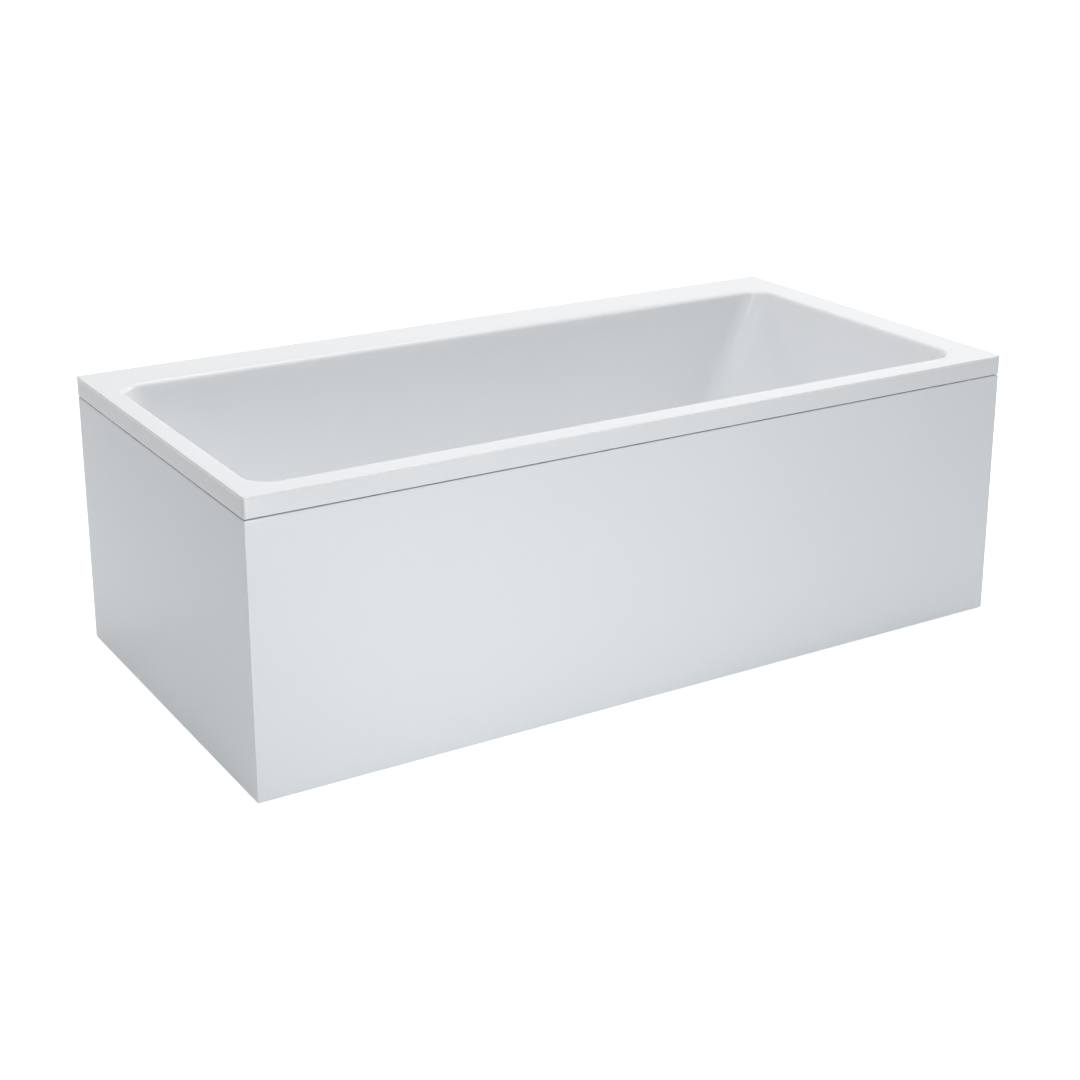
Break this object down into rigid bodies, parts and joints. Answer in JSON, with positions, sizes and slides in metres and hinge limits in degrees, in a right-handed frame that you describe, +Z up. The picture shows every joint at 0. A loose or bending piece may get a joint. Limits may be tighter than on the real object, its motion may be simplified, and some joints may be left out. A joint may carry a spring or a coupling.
{
  "type": "bathtub with front and end panels",
  "caption": "Rectangular bathtub with flat rim, sloping backrest, removable front and end panels, levelling feet, turn-knob overflow and pop-up waste.",
  "frame": {"origin": "centre of the overall box at floor level", "axes": "+X along the length towards the backrest end, +Y towards the back wall, +Z up"},
  "size_m": [1.7, 0.85, 0.57],
  "materials": {
    "shell": "high gloss white acrylic",
    "panel": "gloss white acrylic",
    "resin": "glass-fibre resin",
    "board": "raw chipboard",
    "batten": "sawn softwood",
    "frame_steel": "dark grey powder coat",
    "zinc": "zinc plated",
    "pad": "black moulded",
    "clip_steel": "galvanised strip",
    "chrome": "polished",
    "screw_steel": "stainless",
    "seal": "matt",
    "trap_plastic": "white moulded",
    "cable": "black sheath"
  },
  "bodies": {
    "base": {"base_board": "board", "board_screws": "zinc", "control_cable": "cable", "cross_rail_1": "frame_steel", "cross_rail_2": "frame_steel", "cross_rail_3": "frame_steel", "drain_flange": "chrome", "drain_seal_lower": "seal", "drain_seal_upper": "seal", "end_bracket_1": "clip_steel", "end_bracket_2": "clip_steel", "end_clip_1": "clip_steel", "end_clip_2": "clip_steel", "floor_reinforcement": "resin", "foot_lock_nuts": "zinc", "foot_weld_nuts": "zinc", "front_bracket_1": "clip_steel", "front_bracket_2": "clip_steel", "front_bracket_3": "clip_steel", "front_clip_1": "clip_steel", "front_clip_2": "clip_steel", "front_clip_3": "clip_steel", "long_rail_back": "frame_steel", "long_rail_front": "frame_steel", "outlet_elbow": "trap_plastic", "outlet_nut": "trap_plastic", "overflow_body": "trap_plastic", "overflow_gasket": "seal", "overflow_nut_lower": "trap_plastic", "overflow_nut_upper": "trap_plastic", "overflow_pipe": "trap_plastic", "overflow_plate": "chrome", "overflow_screws": "screw_steel", "rim_batten_back": "batten", "rim_batten_backrest_end": "batten", "rim_batten_drain_end": "batten", "rim_batten_front": "batten", "trap_body": "trap_plastic", "tub_shell": "shell", "wall_anchor_back_1": "clip_steel", "wall_anchor_back_2": "clip_steel", "wall_anchor_end": "clip_steel"},
    "knob": {"overflow_knob": "chrome"},
    "plug": {"plug_cap": "chrome", "plug_seal": "seal", "plug_stem": "chrome"},
    "front_cladding": {"front_panel": "panel", "front_panel_board": "board"},
    "end_cladding": {"end_panel": "panel", "end_panel_board": "board"},
    "foot_1": {"foot_rod_1": "zinc", "foot_pad_1": "pad"},
    "foot_2": {"foot_rod_2": "zinc", "foot_pad_2": "pad"},
    "foot_3": {"foot_rod_3": "zinc", "foot_pad_3": "pad"},
    "foot_4": {"foot_rod_4": "zinc", "foot_pad_4": "pad"},
    "foot_5": {"foot_rod_5": "zinc", "foot_pad_5": "pad"}
  },
  "joints": [
    {"name": "knob_turn", "type": "hinge", "parent": "base", "child": "knob", "pos_m": [-0.78629, -0.03, 0.482], "axis": [0.9781, 0, 0.2079], "range_deg": [0, 90]},
    {"name": "plug_lift", "type": "slide", "parent": "base", "child": "plug", "axis": [0, 0, 1], "range_m": [0, 0.01]},
    {"name": "front_panel_pull", "type": "slide", "parent": "base", "child": "front_cladding", "axis": [0, -1, 0], "range_m": [0, 0.06]},
    {"name": "end_panel_pull", "type": "slide", "parent": "base", "child": "end_cladding", "axis": [-1, 0, 0], "range_m": [0, 0.06]},
    {"name": "foot_1_screw", "type": "slide", "parent": "base", "child": "foot_1", "axis": [0, 0, -1], "range_m": [-0.008, 0.02]},
    {"name": "foot_2_screw", "type": "slide", "parent": "base", "child": "foot_2", "axis": [0, 0, -1], "range_m": [-0.008, 0.02]},
    {"name": "foot_3_screw", "type": "slide", "parent": "base", "child": "foot_3", "axis": [0, 0, -1], "range_m": [-0.008, 0.02]},
    {"name": "foot_4_screw", "type": "slide", "parent": "base", "child": "foot_4", "axis": [0, 0, -1], "range_m": [-0.008, 0.02]},
    {"name": "foot_5_screw", "type": "slide", "parent": "base", "child": "foot_5", "axis": [0, 0, -1], "range_m": [-0.008, 0.02]}
  ],
  "couplings": [
    {"joint": "plug_lift", "follows": "knob_turn", "m_per_rad": 0.0063662}
  ]
}
